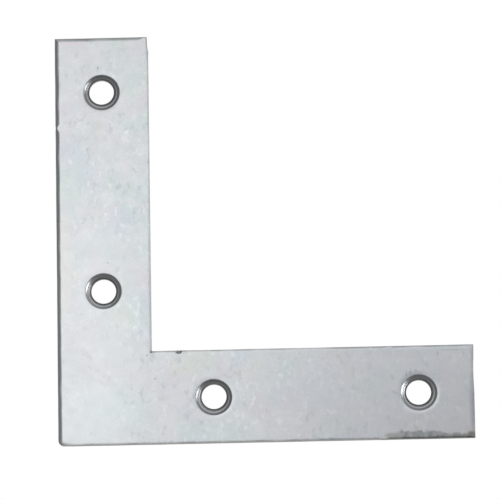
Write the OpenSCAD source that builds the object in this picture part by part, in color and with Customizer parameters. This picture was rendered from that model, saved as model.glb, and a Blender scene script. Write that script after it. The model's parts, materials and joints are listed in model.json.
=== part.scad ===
// Flat corner brace: an L-shaped plate blanked from steel strip, with countersunk screw holes.
// It lies on its back face. The origin is on that face, where the centre lines of the two arms cross.

/* [Plate] */
// Length of each arm, from the outer corner to the arm's end
arm_length = 80; // [60:1:150]
// Width of each arm
arm_width = 18; // [14:0.5:30]
// Thickness of the steel
thickness = 2; // [1.5:0.1:4]
// Radius of the outer corner, seen from the front
corner_radius = 1; // [0.8:0.1:5]

/* [Screw holes] */
// Holes along each arm
holes_per_arm = 2; // [2:1:4]
// Distance from the outer corner to the hole nearest it
first_hole = 30; // [24:0.5:36]
// Distance from the arm's end to the hole nearest it
end_hole = 10.7; // [6:0.1:15]
// Diameter of the bore
hole_d = 4.8; // [3:0.1:6]
// Width of the sloping ring next to the bore
throat_width = 0.4; // [0.2:0.05:0.6]
// Width of the ledge between the two sloping rings
ledge_width = 0.35; // [0.1:0.05:0.5]
// Width of the sloping ring at the mouth
mouth_width = 0.35; // [0.2:0.05:0.6]
// Fall of both sloping rings, from the front face
flank_angle = 45; // [30:1:50]
// Fall of the ledge, from the front face
ledge_angle = 15; // [5:1:25]
// Height of the torn band in the bore, at the back
bore_break_height = 0.4; // [0.2:0.05:0.5]

/* [Blanked edges] */
// Width of the rounded band along the front edges, where the punch drew the metal down
roll_width = 0.55; // [0.2:0.05:0.7]
// How far that band drops at the edge
roll_drop = 0.2; // [0.05:0.05:0.3]
// Height of the torn band along the back edges
break_height = 0.8; // [0.3:0.05:0.9]
// How far the torn bands lean in at the back
break_lean = 0.08; // [0.02:0.01:0.15]

/* [Edge dent] */
// Distance of the dent from the inner corner, along the inner edge of the X arm
dent_from_corner = 5.3; // [2:0.1:20]
// Radius of the dent
dent_radius = 1; // [0.6:0.1:1.5]
// How far the dent reaches across the front face
dent_reach = 0.45; // [0.2:0.05:0.6]
// Height of the dent's centre above the front face
dent_rise = 0.3; // [0.1:0.05:0.5]

/* [Hidden] */
$fn = 96;
// Overrun of every cut past the surface that it opens
over = 1;
half_width = arm_width / 2;
// Coordinate of the outer edges, of the inner edges and of the arms' ends
outer_edge = -half_width;
inner_edge = half_width;
arm_end = arm_length - half_width;
// Holes lie on the centre lines, evenly spaced from the first to the last
first_at = outer_edge + first_hole;
last_at = arm_end - end_hole;
hole_pitch = (last_at - first_at) / (holes_per_arm - 1);
// Radii of the countersink's rings, from the bore out to the mouth
bore_r = hole_d / 2;
throat_r = bore_r + throat_width;
ledge_r = throat_r + ledge_width;
mouth_r = ledge_r + mouth_width;
// Heights of the same rings
ledge_top = thickness - mouth_width * tan(flank_angle);
ledge_foot = ledge_top - ledge_width * tan(ledge_angle);
throat_foot = ledge_foot - throat_width * tan(flank_angle);
// Radius of the arc that gives the rolled band its width and drop
roll_r = (roll_width * roll_width + roll_drop * roll_drop) / (2 * roll_drop);
// The dent's centre stands off the edge, so that it reaches just so far across the face
dent_out = sqrt(dent_radius * dent_radius - dent_rise * dent_rise) - dent_reach;

// Outline of the L, square but for its outer corner
module outline() {
    difference() {
        union() {
            translate([outer_edge, outer_edge]) square([arm_length, arm_width]);
            translate([outer_edge, outer_edge]) square([arm_width, arm_length]);
        }
        difference() {
            translate([outer_edge - over, outer_edge - over]) square(corner_radius + over);
            translate([outer_edge + corner_radius, outer_edge + corner_radius]) circle(corner_radius);
        }
    }
}

// What is cut from an edge, seen in section: X runs in from the edge and Y up from the back face
module edge_cut() {
    difference() {
        translate([-over, thickness - roll_drop]) square([over + roll_width, roll_drop + over]);
        translate([roll_width, thickness - roll_r]) circle(roll_r);
    }
    below = over * break_lean / break_height;
    polygon([[-over, break_height], [0, break_height], [break_lean + below, -over], [-over, -over]]);
}

// The cut along a straight edge that starts at a point and runs at an angle, metal to its left
module straight_cut(start, angle, length) {
    translate(start) rotate([0, 0, angle]) rotate([90, 0, 90]) linear_extrude(length) edge_cut();
}

// The cut round the outer corner
module outer_corner_cut() {
    centre = outer_edge + corner_radius;
    translate([centre, centre, 0]) rotate([0, 0, 180])
        rotate_extrude(angle = 90) translate([corner_radius, 0]) mirror([1, 0]) edge_cut();
}

// The cut round the inner corner, whose section turns about the corner itself
module inner_corner_cut() {
    translate([inner_edge, inner_edge, 0]) rotate([0, 0, 180])
        rotate_extrude(angle = 90) intersection() {
            edge_cut();
            translate([0, -over]) square([roll_width + over, thickness + 2 * over]);
        }
}

// All the edges in turn, anticlockwise from the outer corner
module edge_cuts() {
    outer_run = arm_length - corner_radius + over;
    inner_run = arm_length - arm_width + over;
    end_run = arm_width + 2 * over;
    straight_cut([outer_edge + corner_radius, outer_edge, 0], 0, outer_run);
    straight_cut([arm_end, outer_edge - over, 0], 90, end_run);
    straight_cut([arm_end + over, inner_edge, 0], 180, inner_run);
    straight_cut([inner_edge, inner_edge, 0], 90, inner_run);
    straight_cut([inner_edge + over, arm_end, 0], 180, end_run);
    straight_cut([outer_edge, arm_end + over, 0], 270, outer_run);
    outer_corner_cut();
    inner_corner_cut();
}

// Half section of a screw hole, turned about the hole's axis
module hole_section() {
    below = over * break_lean / bore_break_height;
    above = over / tan(flank_angle);
    polygon([
        [0, -over],
        [bore_r + break_lean + below, -over],
        [bore_r, bore_break_height],
        [bore_r, throat_foot],
        [throat_r, ledge_foot],
        [ledge_r, ledge_top],
        [mouth_r, thickness],
        [mouth_r + above, thickness + over],
        [0, thickness + over]
    ]);
}

module screw_holes() {
    for (step = [0 : holes_per_arm - 1]) {
        along = first_at + step * hole_pitch;
        translate([along, 0, 0]) rotate_extrude() hole_section();
        translate([0, along, 0]) rotate_extrude() hole_section();
    }
}

module edge_dent() {
    translate([inner_edge + dent_from_corner, inner_edge + dent_out, thickness + dent_rise]) sphere(dent_radius);
}

module corner_plate() {
    color("lightgray") difference() {
        linear_extrude(thickness) outline();
        edge_cuts();
        screw_holes();
        edge_dent();
    }
}

corner_plate();
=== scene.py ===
import json
import math

import bmesh
import bpy
from mathutils import Matrix, Vector, noise


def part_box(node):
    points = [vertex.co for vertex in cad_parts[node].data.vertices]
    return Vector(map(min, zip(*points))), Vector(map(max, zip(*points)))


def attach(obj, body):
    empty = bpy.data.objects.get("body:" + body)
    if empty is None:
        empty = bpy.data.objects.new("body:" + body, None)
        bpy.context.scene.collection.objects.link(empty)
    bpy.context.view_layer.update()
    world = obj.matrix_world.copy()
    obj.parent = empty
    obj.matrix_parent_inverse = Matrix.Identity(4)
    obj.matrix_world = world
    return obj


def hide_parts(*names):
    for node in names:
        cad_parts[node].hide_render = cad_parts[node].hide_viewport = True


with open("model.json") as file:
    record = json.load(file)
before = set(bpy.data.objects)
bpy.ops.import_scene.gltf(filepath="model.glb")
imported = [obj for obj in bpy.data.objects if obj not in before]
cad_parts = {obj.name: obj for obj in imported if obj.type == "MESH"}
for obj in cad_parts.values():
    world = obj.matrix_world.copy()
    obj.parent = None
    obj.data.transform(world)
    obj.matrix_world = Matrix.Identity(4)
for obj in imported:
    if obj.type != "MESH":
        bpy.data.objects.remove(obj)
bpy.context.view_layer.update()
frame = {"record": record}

plateNode = "corner_plate"
mm = 0.001
print("frame loaded")


# Sizes that come from the frame, in millimetres

nodeLow, nodeHigh = [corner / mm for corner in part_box(plateNode)]
bores = [mount for mount in frame["record"]["mounts"] if mount["kind"] == "bore"]
boreCentres = [Vector(mount["pos_m"]) / mm for mount in bores]
boreRadius = bores[0]["dims"]["r_mm"]
outerEdge = nodeLow.x       # both outer edges
innerEdge = -outerEdge      # the arms' centre lines run through the origin
armEnd = nodeHigh.x         # both arms' ends
frontLevel = nodeHigh.z
tolerance = 0.001           # how far apart two measures may be and still count as the same


# The plate, blanked from strip, rolled over along its front edges and torn along its back edges

plate = {
    "cornerRadius": 1.0,     # the outer corner
    "cornerSteps": 12,
    "outlineStep": 0.18,     # spacing of the points along the edges
    "rollWidth": 0.88,       # the rounded band where the punch drew the metal down
    "rollDrop": 0.2,
    "rollSteps": 10,
    "flatMargin": 0.05,      # flat band inside the rolled one
    "breakHeight": 0.8,      # the torn band along the back
    "breakLean": 0.08,
    "sharpAngle": 32,        # edges that turn by more are shaded as sharp, in degrees
}

# How the rolled band varies
edgeWear = {
    # on each side its width and its drop, as shares of the sizes above, and its power:
    # 1 is a plain slope, and more is steeper at the edge, with a longer gentle foot
    "roll": {
        "left": (0.99, 1.7, 1.7),
        "bottom": (0.5, 0.2, 2.0),
        "rightEnd": (0.9, 0.38, 2.0),
        "topEnd": (0.9, 0.95, 2.0),
        "innerUpright": (0.5, 0.35, 2.0),
        "innerLying": (0.75, 0.52, 2.0),
    },
    # side, middle and half length along it, and the share by which the roll grows there
    "rollChanges": [
        ("left", 53.2, 0.9, -0.5),
        ("left", 63.0, 5.0, 0.05),
        ("left", -8.0, 2.2, 0.05),
        ("bottom", -8.0, 2.0, 0.8),
        ("bottom", 53.6, 1.3, -0.9),
        ("topEnd", 8.6, 1.4, -0.75),
        ("innerUpright", 55.0, 30.0, -0.45),
        ("innerLying", 54.8, 1.0, -0.6),
    ],
    # side, middle and half length along it, and how far the edge is set in there
    "setIns": [
        ("innerUpright", 40.0, 500.0, -0.17),
        ("innerUpright", 70.5, 3.0, 0.22),
        ("innerUpright", 68.2, 0.5, -0.08),
        ("rightEnd", 3.6, 4.5, 0.1),
        ("left", 53.2, 0.6, 0.06),
    ],
    "waviness": 0.04,        # how far the edges wander
    "wavinessLength": 5.0,
    "dropWander": 0.45,      # how far the roll's drop varies along the edges, as a share
    "dropWanderLength": 3.5,
    "sideSpacing": 10,       # how far apart in the noise the sides lie
    # at a corner, how closely the roll keeps to the nearer side: distance, power
    "cornerShare": (0.02, 4),
    "dent": {"at": (14.4, 8.88, 2.45), "radius": 0.75},
}

countersink = {
    "segments": 120,
    # radius, height and rounding of each ring, from the flat round the mouth down to the back
    "rings": [
        (4.5, frontLevel, 0),
        (4.35, frontLevel, 0),
        (4.2, frontLevel, 0.12),
        (3.5, frontLevel - 0.03, 0.05),
        (3.12, frontLevel - 0.28, 0.04),
        (3.08, frontLevel - 0.37, 0.03),
        (2.8, frontLevel - 0.47, 0.04),
        (boreRadius, frontLevel - 0.88, 0.03),
        (boreRadius, 0.4, 0.03),
        (boreRadius + 0.08, 0.0, 0),
        (boreRadius + 0.3, 0.0, 0),
    ],
    "roundSteps": 4,
    "shadedFrom": 0.1,       # height above which the material paints shade and light on the rings
    # how far each countersink was drilled off its bore, in the order of the bores
    "offCentre": [(0.0, -0.25), (0.1, -0.18), (0.0, -0.12), (0.06, -0.2)],
    "throatWidth": 0.6,      # from the bore out, the offset grows over this width
    "surroundWidth": 0.75,   # and it fades over this width, up to the flat
}


def blankOutline(bm, level):
    corners = (
        (outerEdge, outerEdge),
        (armEnd, outerEdge),
        (armEnd, innerEdge),
        (innerEdge, innerEdge),
        (innerEdge, armEnd),
        (outerEdge, armEnd),
    )
    points = [bm.verts.new((x, y, level)) for x, y in corners]
    bm.faces.new(points)
    bmesh.ops.bevel(
        bm, geom=[points[0]], affect="VERTICES", offset=plate["cornerRadius"], offset_type="OFFSET",
        segments=plate["cornerSteps"], profile=0.5, material=-1, clamp_overlap=True,
    )
    bm.faces.ensure_lookup_table()
    return bm.faces[-1]


def insetFace(bm, face, width, rise):
    bmesh.ops.inset_region(
        bm, faces=[face], thickness=width, depth=0, use_even_offset=True, use_boundary=True,
    )
    bmesh.ops.translate(bm, verts=face.verts, vec=(0, 0, rise))


# The rolled band's section before wear, as width from the edge and drop below the front face
def rollSection():
    shares = [step / plate["rollSteps"] for step in range(plate["rollSteps"] + 1)]
    return [(plate["rollWidth"] * share, plate["rollDrop"] * (1 - share)) for share in shares]


def edgeBands(bm):
    back = blankOutline(bm, plate["breakHeight"])
    grown = bmesh.ops.extrude_face_region(bm, geom=[back])
    front = next(item for item in grown["geom"] if isinstance(item, bmesh.types.BMFace))
    section = rollSection()
    bmesh.ops.translate(bm, verts=front.verts, vec=(0, 0, frontLevel - section[0][1] - plate["breakHeight"]))
    for (lastWidth, lastDrop), (width, drop) in zip(section, section[1:]):
        insetFace(bm, front, width - lastWidth, lastDrop - drop)
    insetFace(bm, front, plate["flatMargin"], 0)
    insetFace(bm, back, plate["breakLean"], -plate["breakHeight"])
    insetFace(bm, back, plate["flatMargin"], 0)
    bmesh.ops.delete(bm, geom=[front, back], context="FACES_ONLY")


# Every edge along one side of the L is cut into as many pieces, so that the bands stay clean quads
def divideSides(bm):
    armLength = armEnd - outerEdge
    armWidth = innerEdge - outerEdge
    sides = {armLength: [], armLength - armWidth: [], armWidth: []}
    for edge in bm.edges:
        length = edge.calc_length()
        if length > armWidth / 2:
            sides[min(sides, key=lambda side: abs(side - length))].append(edge)
    for side, edges in sides.items():
        cuts = round(side / plate["outlineStep"]) - 1
        bmesh.ops.subdivide_edges(bm, edges=edges, cuts=cuts, use_grid_fill=True)


def onRing(vert, radius, level):
    offRadius = abs(math.hypot(vert.co.x, vert.co.y) - radius)
    return offRadius < tolerance and abs(vert.co.z - level) < tolerance


def screwHole(bm):
    rings = countersink["rings"]
    points = [bm.verts.new((radius, 0, level)) for radius, level, _ in rings]
    section = [bm.edges.new(pair) for pair in zip(points, points[1:])]
    bmesh.ops.spin(
        bm, geom=points + section, cent=(0, 0, 0), axis=(0, 0, 1), dvec=(0, 0, 0),
        angle=2 * math.pi, steps=countersink["segments"], use_merge=True, use_duplicate=False,
    )
    for radius, level, rounding in rings:
        if rounding:
            ring = [edge for edge in bm.edges if all(onRing(vert, radius, level) for vert in edge.verts)]
            bmesh.ops.bevel(
                bm, geom=ring, affect="EDGES", offset=rounding, offset_type="OFFSET",
                segments=countersink["roundSteps"], profile=0.5, material=-1, clamp_overlap=True,
            )
    # how far in from the rim a point lies: the material paints shade and light on the rings by it. It is
    # nought on the back
    fromRim = bm.verts.layers.float.new("fromRim")
    rimRadius = rings[0][0]
    for vert in bm.verts:
        if vert.co.z > countersink["shadedFrom"]:
            vert[fromRim] = rimRadius - vert.co.xy.length


# Moves one hole from the origin to its place, and its front half, with the countersink, off centre
def placeHole(bm, verts, centre, offCentre):
    flatRadius = countersink["rings"][1][0]
    for vert in verts:
        radius = vert.co.xy.length
        share = min(
            (radius - boreRadius) / countersink["throatWidth"],
            (flatRadius - radius) / countersink["surroundWidth"],
            1,
        )
        if share > 0 and vert.co.z > frontLevel / 2:
            vert.co.xy += Vector(offCentre) * share
    bmesh.ops.translate(bm, verts=verts, vec=(centre.x, centre.y, 0))


def copyHoles(bm):
    firstVerts = bm.verts[:]
    first = firstVerts + bm.edges[:] + bm.faces[:]
    for centre, offCentre in list(zip(boreCentres, countersink["offCentre"]))[1:]:
        copied = bmesh.ops.duplicate(bm, geom=first)["geom"]
        verts = [item for item in copied if isinstance(item, bmesh.types.BMVert)]
        placeHole(bm, verts, centre, offCentre)
    placeHole(bm, firstVerts, boreCentres[0], countersink["offCentre"][0])


# A smooth hump, 1 at its middle and nought from its half length on
def hump(along, middle, half):
    away = abs(along - middle) / half
    return (1 - away * away) ** 2 if away < 1 else 0.0


# For a point in the edge bands, each side near it: its name, the place along it, the distance from it,
# the inward direction and the part that the side has in what moves the point
def sidesNear(point, reach):
    corner = outerEdge + plate["cornerRadius"]
    fromCentre = Vector((corner - point.x, corner - point.y))
    if fromCentre.x > 0 and fromCentre.y > 0 and fromCentre.length > 0:
        inward = fromCentre.normalized()
        away = plate["cornerRadius"] - fromCentre.length
        turned = math.atan2(fromCentre.y, fromCentre.x) / (math.pi / 2)
        return [("left", point.y, away, inward, 1 - turned), ("bottom", point.x, away, inward, turned)]
    sides = [
        ("left", point.y, point.x - outerEdge, Vector((1, 0)), True),
        ("bottom", point.x, point.y - outerEdge, Vector((0, 1)), True),
        ("rightEnd", point.y, armEnd - point.x, Vector((-1, 0)), True),
        ("topEnd", point.x, armEnd - point.y, Vector((0, -1)), True),
        ("innerUpright", point.y, innerEdge - point.x, Vector((-1, 0)), point.y > point.x - tolerance),
        ("innerLying", point.x, innerEdge - point.y, Vector((0, -1)), point.x > point.y - tolerance),
    ]
    return [
        (name, along, away, inward, 1.0)
        for name, along, away, inward, there in sides
        if there and away < reach
    ]


def rollShares(side, along):
    width, drop, power = edgeWear["roll"][side]
    growth = 1.0
    for name, middle, half, change in edgeWear["rollChanges"]:
        if name == side:
            growth += change * hump(along, middle, half)
    spacing = edgeWear["sideSpacing"]
    wander = noise.noise(Vector((along / edgeWear["dropWanderLength"], spacing * width, spacing * drop)))
    return width * growth, drop * growth * (1 + edgeWear["dropWander"] * wander), power


def setIn(side, along, point):
    amount = edgeWear["waviness"] * (0.5 + 0.5 * noise.noise(point / edgeWear["wavinessLength"]))
    for name, middle, half, depth in edgeWear["setIns"]:
        if name == side:
            amount += depth * hump(along, middle, half)
    return amount if side.startswith("inner") else max(amount, 0.0)


# Moves the points of the edge bands: the roll wider or narrower, the edge in or out
def wearEdges(bm):
    width = plate["rollWidth"]
    reach = width + plate["flatMargin"]
    cornerDistance, cornerPower = edgeWear["cornerShare"]
    for vert in bm.verts:
        point = vert.co.copy()
        near = sidesNear(point, reach - tolerance)
        if not near:
            continue
        shift = Vector((0, 0))
        slope = (frontLevel - vert.co.z) / plate["rollDrop"]
        dropSum = 0.0
        weightSum = 0.0
        for side, along, away, inward, part in near:
            widthShare, dropShare, power = rollShares(side, along)
            newWidth = width * widthShare
            if away < width:
                newAway = away * widthShare
            else:
                newAway = newWidth + (away - width) * (reach - newWidth) / (reach - width)
            fade = max(0.0, 1 - away / reach)
            shift += inward * part * (newAway - away + setIn(side, along, point) * fade)
            weight = part / (max(away, 0) + cornerDistance) ** cornerPower
            dropSum += dropShare * max(slope, 0) ** power * weight
            weightSum += weight
        vert.co.x += shift.x
        vert.co.y += shift.y
        if vert.co.z > plate["breakHeight"] + tolerance:
            vert.co.z = frontLevel - plate["rollDrop"] * dropSum / weightSum


# Pushes the points inside the dent's ball out to its surface
def pressDent(bm):
    dent = edgeWear["dent"]
    centre = Vector(dent["at"])
    for vert in bm.verts:
        away = vert.co - centre
        if away.length < dent["radius"]:
            vert.co = centre + away.normalized() * dent["radius"]


def fillFlat(bm, level, normal):
    rim = [edge for edge in bm.edges if edge.is_boundary and abs(edge.verts[0].co.z - level) < tolerance]
    bmesh.ops.triangle_fill(bm, edges=rim, use_beauty=True, use_dissolve=False, normal=normal)


def makePlate():
    bm = bmesh.new()
    screwHole(bm)
    copyHoles(bm)
    edgeBands(bm)
    divideSides(bm)
    wearEdges(bm)
    pressDent(bm)
    fillFlat(bm, frontLevel, (0, 0, 1))
    fillFlat(bm, 0, (0, 0, -1))
    bmesh.ops.recalc_face_normals(bm, faces=bm.faces)
    bmesh.ops.scale(bm, vec=(mm, mm, mm), verts=bm.verts)
    openEdges = [edge for edge in bm.edges if not edge.is_manifold]
    volume = bm.calc_volume() / mm ** 3
    print("plate mesh: faces", len(bm.faces), "open edges", len(openEdges), "cubic mm", volume)
    mesh = bpy.data.meshes.new("plate")
    bm.to_mesh(mesh)
    bm.free()
    mesh.shade_smooth()
    mesh.set_sharp_from_angle(angle=math.radians(plate["sharpAngle"]))
    piece = bpy.data.objects.new("zinc_corner_plate", mesh)
    bpy.context.scene.collection.objects.link(piece)
    flats = piece.modifiers.new("flatsShadedFlat", "WEIGHTED_NORMAL")
    flats.keep_sharp = True
    return piece


plateObject = makePlate()
print("plate made")


# Materials

def addNode(tree, kind, inputs=None, **settings):
    made = tree.nodes.new(kind)
    for name, value in settings.items():
        setattr(made, name, value)
    for socket, value in (inputs or {}).items():
        if isinstance(value, bpy.types.NodeSocket):
            tree.links.new(value, made.inputs[socket])
        else:
            made.inputs[socket].default_value = value
    return made


def linear(hexColour):
    parts = [int(hexColour[at:at + 2], 16) / 255 for at in (1, 3, 5)]
    return [part / 12.92 if part <= 0.04045 else ((part + 0.055) / 1.055) ** 2.4 for part in parts] + [1.0]


def newMaterial(name):
    made = bpy.data.materials.new(name)
    made.use_nodes = True
    made.node_tree.nodes.clear()
    return made


# Noise patterns in the finish: size in millimetres, place in the noise, scale along X, Y and Z, where
# less than 1 draws the pattern out, and detail
patterns = {
    "blueClouds": (7.0, (3, 8, 0), (1, 1, 1), 2.0),
    "greenClouds": (8.0, (31, 5, 0), (1, 1, 1), 2.0),
    "pinkClouds": (6.0, (7, 44, 0), (1, 1, 1), 2.0),
    "yellowClouds": (7.0, (52, 27, 0), (1, 1, 1), 2.0),
    "paleClouds": (3.0, (15, 61, 0), (1, 1, 1), 2.0),
    "greyClouds": (2.4, (44, 19, 0), (1, 1, 1), 2.0),
    "darkPatches": (5.0, (81, 9.6, 0), (1, 1, 1), 2.0),
    "palePatches": (5.0, (23, 77, 0), (1, 1, 1), 2.0),
    "darkDashes": (1.1, (81, 12, 0), (1, 0.7, 1), 4.0),
    "paleDashes": (1.0, (23, 77, 0), (1, 0.7, 1), 4.0),
    "coarseMottle": (1.6, (160, 0, 0), (1, 1, 1), 2.0),
    "mediumMottle": (0.7, (70, 0, 0), (1, 1, 1), 2.0),
    "fineMottle": (0.35, (35, 0, 0), (1, 1, 1), 2.0),
    "bandBorder": (1.1, (9, 9, 9), (1, 1, 1), 4.0),
    "bandPatches": (0.8, (29, 9, 9), (1, 1, 1), 3.0),
    "tornStreaks": (0.3, (5, 5, 5), (1, 1, 0.12), 3.0),
    "satin": (2.5, (70, 3, 0), (1, 1, 1), 3.0),
    "stripWaves": (3.0, (20, 20, 0), (1, 1, 1), 1.0),
    "satinGrain": (0.35, (0, 0, 0), (1, 1, 1), 3.0),    # the real grain is about a tenth as wide
}

# What the plating looks like, with sizes in millimetres
plating = {
    "colour": "#D8DBDE",
    # the cloudy tints of passivated zinc, then handling marks that come in patches: colour, pattern,
    # noise level where it starts and where it is full, strength, patches
    "tints": [
        ("#C6D4DF", "blueClouds", 0.46, 0.72, 0.38, None),
        ("#C8DAD2", "greenClouds", 0.46, 0.74, 0.46, None),
        ("#DAD2DE", "pinkClouds", 0.50, 0.74, 0.42, None),
        ("#DAD9CB", "yellowClouds", 0.52, 0.76, 0.27, None),
        ("#EAEEF0", "paleClouds", 0.50, 0.78, 0.28, None),
        ("#C9CDD0", "greyClouds", 0.52, 0.78, 0.28, None),
        ("#A4AAB2", "darkDashes", 0.53, 0.66, 0.31, "darkPatches"),
        ("#F6FAFB", "paleDashes", 0.53, 0.66, 0.36, "palePatches"),
    ],
    "patchLevels": (0.42, 0.6),
    # how far each mottling lightens and darkens, and the noise levels where it does so in full
    "mottling": {"coarseMottle": 0.012, "mediumMottle": 0.024, "fineMottle": 0.034},
    "mottleLevels": (0.25, 0.75),
    # painted shade and light on the countersink's machined rings, by radius: darker throat and mouth, a
    # lighter ledge between
    "ringPaintedShades": [
        (2.3, 0.5),
        (2.56, 0.57),
        (2.72, 0.82),
        (2.98, 1.08),
        (3.1, 0.61),
        (3.2, 0.66),
        (3.42, 0.68),
        (3.52, 0.74),
        (3.64, 1.0),
    ],
    # where a mark starts and where it is full, as shares of its half length, and how deep it goes
    "markEdge": (1.15, 0.4),
    "markDepth": 0.6,
    "roughness": 0.34,
    "roughnessChange": 0.02,
    "roughnessLevels": (0.3, 0.7),
    "waveHeight": 0.012,         # of the strip's slight waves
    "grainHeight": 0.0016,
    # upward part of the normal where the painted shade on the slopes, rolled and machined, starts and where
    # it is full, and how dark it paints them
    "paintedSlopeShade": (0.999, 0.92, 0.4),
    "wallSlope": (0.45, 0.2),    # upward part of the normal where a wall's finish starts and where it is full
    # the walls' colours: partly their sheared finish, partly painted shade that darkens them
    "wallColour": "#ADADAA",
    "wallRoughness": 0.5,
    "tornColour": "#8D8C88",
    "tornBorder": 0.12,          # half width of the change from the cut band to the torn one
    "tornLevels": (0.3, 0.7),    # noise levels where its streaks are darkest and palest, and their shades
    "tornShades": (0.8, 1.15),
}

# Marks and painted light and shade on the front face, the broad soft painted ones last: x, y, length, width,
# turn in degrees, colour, strength
marksAndPaintedLight = [
    (0.88, 26.45, 0.35, 0.3, 0, "#6F6F6C", 0.7),
    (-2.7, -6.84, 0.9, 0.28, 40, "#7C7C7A", 0.6),
    (-0.63, 65.0, 0.3, 1.0, 0, "#8C8D8C", 0.5),
    (64.1, 7.4, 0.3, 1.2, 0, "#80817E", 0.5),
    (59.84, -5.88, 0.3, 1.1, 0, "#F4F6F6", 0.6),
    (9.72, 3.54, 0.7, 0.3, 20, "#8F908F", 0.45),
    (-6.28, -0.99, 0.6, 0.5, 0, "#F6F8F8", 0.7),
    (-6.04, 23.7, 0.35, 1.0, 10, "#A8AE8C", 0.6),
    (9.1, 8.75, 0.55, 0.5, 0, "#5F5F5C", 0.7),
    # these two are painted shade in the pressed dent on the inner edge and along it
    (14.4, 8.65, 1.3, 0.7, 0, "#5B5A54", 0.5),
    (14.9, 8.95, 3.4, 0.3, 0, "#6B6A66", 0.4),
    # a painted pink reflection along the top end's left part
    (-5.5, 69.9, 6.5, 0.7, 0, "#E6CFD6", 0.5),
    (70.6, -2.0, 1.6, 13.0, 0, "#8A90A0", 0.35),
    (67.0, 8.0, 6.5, 0.4, 0, "#9A9CA2", 0.25),
    (59.85, 4.15, 0.5, 0.5, 0, "#7F8387", 0.5),
    (58.85, 3.75, 0.5, 0.7, 0, "#858A90", 0.5),
    (58.0, 3.4, 0.5, 1.2, 10, "#8B9099", 0.45),
    (58.4, 4.4, 0.6, 0.6, 0, "#EEF0F4", 0.45),
    (60.5, 4.4, 0.7, 0.4, 30, "#EEF0F4", 0.4),
    (63.5, 3.25, 0.5, 0.4, 0, "#85898E", 0.45),
    (55.3, 2.9, 0.8, 1.5, 20, "#9A9FA8", 0.35),
    (55.7, -0.05, 1.5, 0.8, -30, "#9A9FA8", 0.35),
    (55.0, -8.35, 3.2, 1.2, 0, "#8E8B74", 0.6),
    (56.9, -7.6, 0.8, 1.0, 0, "#77776C", 0.5),
    (60.6, -7.7, 0.7, 0.7, 0, "#6E6F6C", 0.5),
    (70.2, -8.2, 1.6, 1.2, 0, "#9C9C88", 0.5),
    # broad soft painted light and shade: lighter over the upright arm and the corner, darker over the right
    # of the lying arm
    (54.0, 1.0, 46.0, 30.0, 0, "#D0D3DC", 0.35),
    (-7.6, 27.0, 4.5, 26.0, 0, "#E3DFD8", 0.4),
    (-5.0, 8.0, 26.0, 75.0, 0, "#E8EBEC", 0.4),
    (-2.0, -3.0, 20.0, 14.0, 0, "#E4EAEE", 0.35),
    (12.0, -2.0, 8.0, 9.0, 0, "#DAD6DB", 0.4),
]

# Brown-grey darkening in the lower edge at the right end
darkEdgeBand = {
    "colour": "#53544D",
    # a dark line on the edge and a grey band beside it: where each starts and where it is full along X,
    # the same along Y, strength
    "layers": [
        (53.6, 54.9, -8.7, -8.95, 0.72),
        (55.0, 57.6, -7.4, -7.95, 0.56),
    ],
    "patches": 0.35,              # how much weaker it is in places
    "patchLevels": (0.38, 0.58),  # noise levels where it is weakest and where it is full
    "wander": 1.1,                # how far its border wanders
    "narrowing": (63.5, 65.5, 0.5),    # where its border comes nearer the edge along X, and by how much
}


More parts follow.
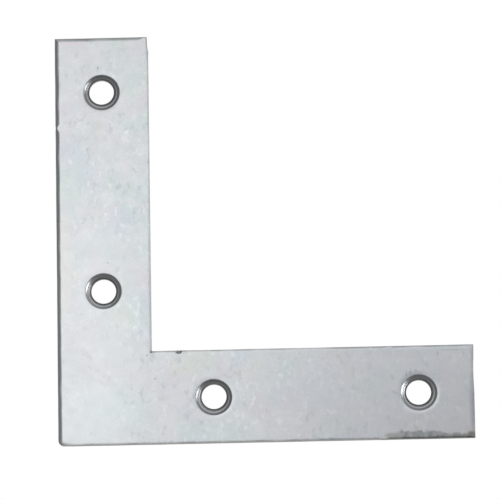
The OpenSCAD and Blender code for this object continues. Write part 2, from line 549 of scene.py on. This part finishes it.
# Bright zinc plating on blanked strip: a satin grey metal, faintly clouded in blue, green, pink and yellow
def zincPlatedSteel():
    made = newMaterial("zincPlatedSteel")
    tree = made.node_tree
    objectPlace = addNode(tree, "ShaderNodeTexCoord").outputs["Object"]
    place = addNode(tree, "ShaderNodeVectorMath", {
        0: objectPlace, "Scale": 1 / mm,
    }, operation="SCALE").outputs[0]
    x, y, z = addNode(tree, "ShaderNodeSeparateXYZ", {0: place}).outputs

    levels = {}
    for name, (size, shift, stretch, detail) in patterns.items():
        scale = [share / size for share in stretch]
        mapped = addNode(tree, "ShaderNodeMapping", {"Vector": place, "Location": shift, "Scale": scale})
        levels[name] = addNode(tree, "ShaderNodeTexNoise", {
            "Vector": mapped.outputs[0], "Scale": 1.0, "Detail": detail, "Roughness": 0.5,
        }).outputs[0]

    colour = linear(plating["colour"])
    patchStart, patchFull = plating["patchLevels"]
    for tint, pattern, start, full, strength, patches in plating["tints"]:
        if patches:
            strength = addNode(tree, "ShaderNodeMapRange", {
                "Value": levels[patches], "From Min": patchStart, "From Max": patchFull, "To Max": strength,
            }).outputs[0]
        share = addNode(tree, "ShaderNodeMapRange", {
            "Value": levels[pattern], "From Min": start, "From Max": full, "To Max": strength,
        }, interpolation_type="SMOOTHSTEP")
        colour = addNode(tree, "ShaderNodeMix", {
            0: share.outputs[0], 6: colour, 7: linear(tint),
        }, data_type="RGBA").outputs[2]

    mottleLow, mottleHigh = plating["mottleLevels"]
    for pattern, change in plating["mottling"].items():
        gain = addNode(tree, "ShaderNodeMapRange", {
            "Value": levels[pattern], "From Min": mottleLow, "From Max": mottleHigh,
            "To Min": 1 - change, "To Max": 1 + change,
        })
        colour = addNode(tree, "ShaderNodeVectorMath", {
            0: colour, "Scale": gain.outputs[0],
        }, operation="SCALE").outputs[0]

    # painted shade and light on the countersink's rings, by their radius
    fromRim = addNode(tree, "ShaderNodeAttribute", attribute_name="fromRim").outputs["Fac"]
    fromAxis = addNode(tree, "ShaderNodeMath", {
        0: countersink["rings"][0][0], 1: fromRim,
    }, operation="SUBTRACT")
    reach = plating["ringPaintedShades"][-1][0]
    share = addNode(tree, "ShaderNodeMath", {0: fromAxis.outputs[0], 1: reach}, operation="DIVIDE")
    ramp = addNode(tree, "ShaderNodeValToRGB", {0: share.outputs[0]})
    stops = ramp.color_ramp.elements
    brightest = max(shade for _, shade in plating["ringPaintedShades"])
    for number, (radius, shade) in enumerate(plating["ringPaintedShades"]):
        stop = stops[number] if number < 2 else stops.new(radius / reach)    # a new ramp has two stops
        stop.position = radius / reach
        stop.color = [shade / brightest] * 3 + [1.0]
    gain = addNode(tree, "ShaderNodeMath", {0: ramp.outputs[0], 1: brightest}, operation="MULTIPLY")
    colour = addNode(tree, "ShaderNodeVectorMath", {
        0: colour, "Scale": gain.outputs[0],
    }, operation="SCALE").outputs[0]

    markStart, markFull = plating["markEdge"]
    for markX, markY, length, width, turn, tint, strength in marksAndPaintedLight:
        local = addNode(tree, "ShaderNodeMapping", {
            "Vector": place, "Location": (markX, markY, frontLevel), "Rotation": (0, 0, math.radians(turn)),
            "Scale": (length / 2, width / 2, plating["markDepth"]),
        }, vector_type="TEXTURE")
        away = addNode(tree, "ShaderNodeVectorMath", {0: local.outputs[0]}, operation="LENGTH")
        share = addNode(tree, "ShaderNodeMapRange", {
            "Value": away.outputs["Value"], "From Min": markStart, "From Max": markFull, "To Max": strength,
        }, interpolation_type="SMOOTHSTEP")
        colour = addNode(tree, "ShaderNodeMix", {
            0: share.outputs[0], 6: colour, 7: linear(tint),
        }, data_type="RGBA").outputs[2]

    # painted shade on the rolled edges and the countersinks' slopes, which makes them darker than the flat
    normal = addNode(tree, "ShaderNodeNewGeometry").outputs["True Normal"]
    rise = addNode(tree, "ShaderNodeSeparateXYZ", {0: normal}).outputs[2]
    steepness = addNode(tree, "ShaderNodeMath", {0: rise}, operation="ABSOLUTE")
    slopeStart, slopeFull, paintedShade = plating["paintedSlopeShade"]
    slope = addNode(tree, "ShaderNodeMapRange", {
        "Value": steepness.outputs[0], "From Min": slopeStart, "From Max": slopeFull, "To Min": 1.0,
        "To Max": paintedShade,
    })
    colour = addNode(tree, "ShaderNodeVectorMath", {
        0: colour, "Scale": slope.outputs[0],
    }, operation="SCALE").outputs[0]

    # the walls, cut bright along the top and torn dull along the bottom; their colours are partly the sheared
    # finish and partly painted shade
    wallStart, wallFull = plating["wallSlope"]
    wall = addNode(tree, "ShaderNodeMapRange", {
        "Value": steepness.outputs[0], "From Min": wallStart, "From Max": wallFull,
    })
    torn = addNode(tree, "ShaderNodeMapRange", {
        "Value": z, "From Min": plate["breakHeight"] + plating["tornBorder"],
        "From Max": plate["breakHeight"] - plating["tornBorder"],
    })
    tornLow, tornHigh = plating["tornLevels"]
    tornDark, tornPale = plating["tornShades"]
    streaks = addNode(tree, "ShaderNodeMapRange", {
        "Value": levels["tornStreaks"], "From Min": tornLow, "From Max": tornHigh,
        "To Min": tornDark, "To Max": tornPale,
    })
    wallColour = addNode(tree, "ShaderNodeMix", {
        0: torn.outputs[0], 6: linear(plating["wallColour"]), 7: linear(plating["tornColour"]),
    }, data_type="RGBA")
    wallColour = addNode(tree, "ShaderNodeVectorMath", {
        0: wallColour.outputs[2], "Scale": streaks.outputs[0],
    }, operation="SCALE")
    colour = addNode(tree, "ShaderNodeMix", {
        0: wall.outputs[0], 6: colour, 7: wallColour.outputs[0],
    }, data_type="RGBA").outputs[2]

    # the dark band, whose border wanders and comes nearer the edge at the right
    narrowFrom, narrowTo, narrowBy = darkEdgeBand["narrowing"]
    noiseMiddle = 0.5
    border = addNode(tree, "ShaderNodeMapRange", {
        "Value": x, "From Min": narrowFrom, "From Max": narrowTo, "To Max": narrowBy,
    }, interpolation_type="SMOOTHSTEP")
    border = addNode(tree, "ShaderNodeMath", {0: border.outputs[0], 1: y}, operation="ADD")
    wander = addNode(tree, "ShaderNodeMath", {
        0: levels["bandBorder"], 1: noiseMiddle,
    }, operation="SUBTRACT")
    border = addNode(tree, "ShaderNodeMath", {
        0: wander.outputs[0], 1: darkEdgeBand["wander"], 2: border.outputs[0],
    }, operation="MULTIPLY_ADD")
    paleLevel, fullLevel = darkEdgeBand["patchLevels"]
    patchy = addNode(tree, "ShaderNodeMapRange", {
        "Value": levels["bandPatches"], "From Min": paleLevel, "From Max": fullLevel,
        "To Min": 1 - darkEdgeBand["patches"],
    })
    for (start, full, inner, outer, strength), across in zip(darkEdgeBand["layers"], (y, border.outputs[0])):
        along = addNode(tree, "ShaderNodeMapRange", {
            "Value": x, "From Min": start, "From Max": full,
        }, interpolation_type="SMOOTHSTEP")
        share = addNode(tree, "ShaderNodeMapRange", {
            "Value": across, "From Min": inner, "From Max": outer, "To Max": strength,
        }, interpolation_type="SMOOTHSTEP")
        share = addNode(tree, "ShaderNodeMath", {
            0: along.outputs[0], 1: share.outputs[0],
        }, operation="MULTIPLY")
        share = addNode(tree, "ShaderNodeMath", {
            0: share.outputs[0], 1: patchy.outputs[0],
        }, operation="MULTIPLY")
        colour = addNode(tree, "ShaderNodeMix", {
            0: share.outputs[0], 6: colour, 7: linear(darkEdgeBand["colour"]),
        }, data_type="RGBA").outputs[2]

    # the satin, a little rougher in places and rougher still on the walls
    satinLow, satinHigh = plating["roughnessLevels"]
    satin = addNode(tree, "ShaderNodeMapRange", {
        "Value": levels["satin"], "From Min": satinLow, "From Max": satinHigh,
        "To Min": plating["roughness"] - plating["roughnessChange"],
        "To Max": plating["roughness"] + plating["roughnessChange"],
    })
    roughness = addNode(tree, "ShaderNodeMix", {
        0: wall.outputs[0], 2: satin.outputs[0], 3: plating["wallRoughness"],
    }, data_type="FLOAT")

    waves = addNode(tree, "ShaderNodeBump", {
        "Height": levels["stripWaves"], "Distance": plating["waveHeight"] * mm, "Strength": 1.0,
    })
    grain = addNode(tree, "ShaderNodeBump", {
        "Height": levels["satinGrain"], "Distance": plating["grainHeight"] * mm, "Strength": 1.0,
        "Normal": waves.outputs[0],
    })
    shader = addNode(tree, "ShaderNodeBsdfPrincipled", {
        "Base Color": colour, "Metallic": 1.0, "Roughness": roughness.outputs[0], "Normal": grain.outputs[0],
    })
    addNode(tree, "ShaderNodeOutputMaterial", {"Surface": shader.outputs["BSDF"]})
    return made


zinc = zincPlatedSteel()
plateObject.data.materials.append(zinc)
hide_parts(plateNode)
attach(plateObject, "root")


# Stage, a white floor in a pale room

floor = {
    "half": 1500,
    "level": 0.02,       # just clear of the back face, so that the two don't flicker
    "glow": 0.75,        # what the plate gets from it, while the camera sees it as white
}


def whiteCard():
    made = newMaterial("whiteCard")
    tree = made.node_tree
    rays = addNode(tree, "ShaderNodeLightPath")
    glow = addNode(tree, "ShaderNodeEmission", {"Color": linear("#FFFFFF"), "Strength": 1.0})
    card = addNode(tree, "ShaderNodeEmission", {"Color": linear("#FFFFFF"), "Strength": floor["glow"]})
    mixed = addNode(tree, "ShaderNodeMixShader", {
        0: rays.outputs["Is Camera Ray"], 1: card.outputs[0], 2: glow.outputs[0],
    })
    addNode(tree, "ShaderNodeOutputMaterial", {"Surface": mixed.outputs[0]})
    return made


def makeFloor():
    mesh = bpy.data.meshes.new("floor")
    bm = bmesh.new()
    bmesh.ops.create_grid(bm, x_segments=1, y_segments=1, size=floor["half"] * mm)
    bm.to_mesh(mesh)
    bm.free()
    mesh.materials.append(whiteCard())
    made = bpy.data.objects.new("floor", mesh)
    made.location.z = floor["level"] * mm
    bpy.context.scene.collection.objects.link(made)
    return made


makeFloor()
print("floor made")


# Lights

lights = {
    # middle of the box, which faces straight down, its width and height, and its radiance
    "softboxes": {
        "mainSoftbox": ((-34.5, 71, 270), (141, 235), 1.093),
        "rightSoftbox": ((100, 90, 270), (90, 90), 1.0),
    },
    # a low light from the right, which gives the glint in the countersinks
    "side": {
        "aim": (28.5, 28.2, 2),
        "azimuth": -9,
        "elevation": 26,
        "distance": 420,
        "size": (240, 76),
        "radiance": 16.5,
    },
}


def areaLight(name, at, toward, size, radiance):
    width, height = size
    data = bpy.data.lights.new(name, "AREA")
    data.shape = "RECTANGLE"
    data.size = width * mm
    data.size_y = height * mm
    data.energy = radiance * math.pi * width * height * mm * mm
    light = bpy.data.objects.new(name, data)
    light.location = at * mm
    light.rotation_euler = toward.to_track_quat("-Z", "Y").to_euler()
    light.visible_camera = False
    bpy.context.scene.collection.objects.link(light)


def sideLight(side):
    azimuth = math.radians(side["azimuth"])
    elevation = math.radians(side["elevation"])
    direction = Vector((
        math.cos(elevation) * math.cos(azimuth),
        math.cos(elevation) * math.sin(azimuth),
        math.sin(elevation),
    ))
    away = side["distance"] * direction
    areaLight("sideLight", Vector(side["aim"]) + away, -away, side["size"], side["radiance"])


for boxName, (boxMiddle, boxSize, boxRadiance) in lights["softboxes"].items():
    areaLight(boxName, Vector(boxMiddle), Vector((0, 0, -1)), boxSize, boxRadiance)
sideLight(lights["side"])


# Light that the room gives: strength 1 is white
room = {
    "brightEnd": (0.7, 0.7, 0),         # direction of the brighter end
    "endSpan": (0.1, 1.0),              # how far towards that end the strength starts and ends to grow
    "endStrengths": (0.39, 0.78),
    # the upward part of a direction where the ceiling's lower strength starts and where it is full, its share
    "ceiling": (0.8, 0.97, 0.3),
    # the same where the brighter low walls are full and where they end, their share
    "lowWalls": (0.45, 0.6, 1.6),
}


def studioWorld():
    world = bpy.data.worlds.new("studio")
    bpy.context.scene.world = world
    world.use_nodes = True
    tree = world.node_tree
    tree.nodes.clear()
    rays = addNode(tree, "ShaderNodeLightPath")
    direction = addNode(tree, "ShaderNodeTexCoord").outputs["Generated"]
    toward = addNode(tree, "ShaderNodeVectorMath", {
        0: direction, 1: room["brightEnd"],
    }, operation="DOT_PRODUCT")
    endStart, endFull = room["endSpan"]
    weakest, strongest = room["endStrengths"]
    strength = addNode(tree, "ShaderNodeMapRange", {
        "Value": toward.outputs["Value"], "From Min": endStart, "From Max": endFull,
        "To Min": weakest, "To Max": strongest,
    })
    height = addNode(tree, "ShaderNodeSeparateXYZ", {0: direction}).outputs[2]
    ceilingStart, ceilingFull, ceilingShare = room["ceiling"]
    ceiling = addNode(tree, "ShaderNodeMapRange", {
        "Value": height, "From Min": ceilingStart, "From Max": ceilingFull,
        "To Min": 1.0, "To Max": ceilingShare,
    })
    strength = addNode(tree, "ShaderNodeMath", {
        0: strength.outputs[0], 1: ceiling.outputs[0],
    }, operation="MULTIPLY")
    lowFull, lowEnd, lowShare = room["lowWalls"]
    low = addNode(tree, "ShaderNodeMapRange", {
        "Value": height, "From Min": lowFull, "From Max": lowEnd,
        "To Min": lowShare, "To Max": 1.0,
    })
    strength = addNode(tree, "ShaderNodeMath", {
        0: strength.outputs[0], 1: low.outputs[0],
    }, operation="MULTIPLY")
    roomLight = addNode(tree, "ShaderNodeBackground", {
        "Color": linear("#FFFFFF"), "Strength": strength.outputs[0],
    })
    white = addNode(tree, "ShaderNodeBackground", {"Color": linear("#FFFFFF"), "Strength": 1.0})
    # the camera sees plain white behind the object
    mixed = addNode(tree, "ShaderNodeMixShader", {
        0: rays.outputs["Is Camera Ray"], 1: roomLight.outputs[0], 2: white.outputs[0],
    })
    addNode(tree, "ShaderNodeOutputWorld", {"Surface": mixed.outputs[0]})


studioWorld()
bpy.context.scene.view_settings.view_transform = "Standard"
print("lights made")


# Camera

cameraFit = {
    "aim": (28.405, 28.335, 2.0),    # the point of the front face at the picture's middle
    "distance": 1000.0,
    "pixelsPerMm": 5.1828,           # at that point, in a picture 500 pixels wide
    "turns": (-10.67, -1.72, 1.26),  # about X, then Y, then Z
    "sensor": 36.0,
    "pictureWidth": 500.0,
    "clip": (10, 10000),
}


def makeCamera():
    tilt, lean, roll = [math.radians(angle) for angle in cameraFit["turns"]]
    turn = Matrix.Rotation(-tilt, 4, "X")
    turn = turn @ Matrix.Rotation(-lean, 4, "Y")
    turn = turn @ Matrix.Rotation(-roll, 4, "Z")
    data = bpy.data.cameras.new("camera")
    data.sensor_width = cameraFit["sensor"]
    focal = cameraFit["pixelsPerMm"] * cameraFit["distance"]
    data.lens = focal * cameraFit["sensor"] / cameraFit["pictureWidth"]
    data.clip_start, data.clip_end = [distance * mm for distance in cameraFit["clip"]]
    camera = bpy.data.objects.new("camera", data)
    back = turn @ Vector((0, 0, cameraFit["distance"]))
    camera.matrix_world = Matrix.Translation((Vector(cameraFit["aim"]) + back) * mm) @ turn
    bpy.context.scene.collection.objects.link(camera)
    bpy.context.scene.camera = camera


makeCamera()
print("camera made")
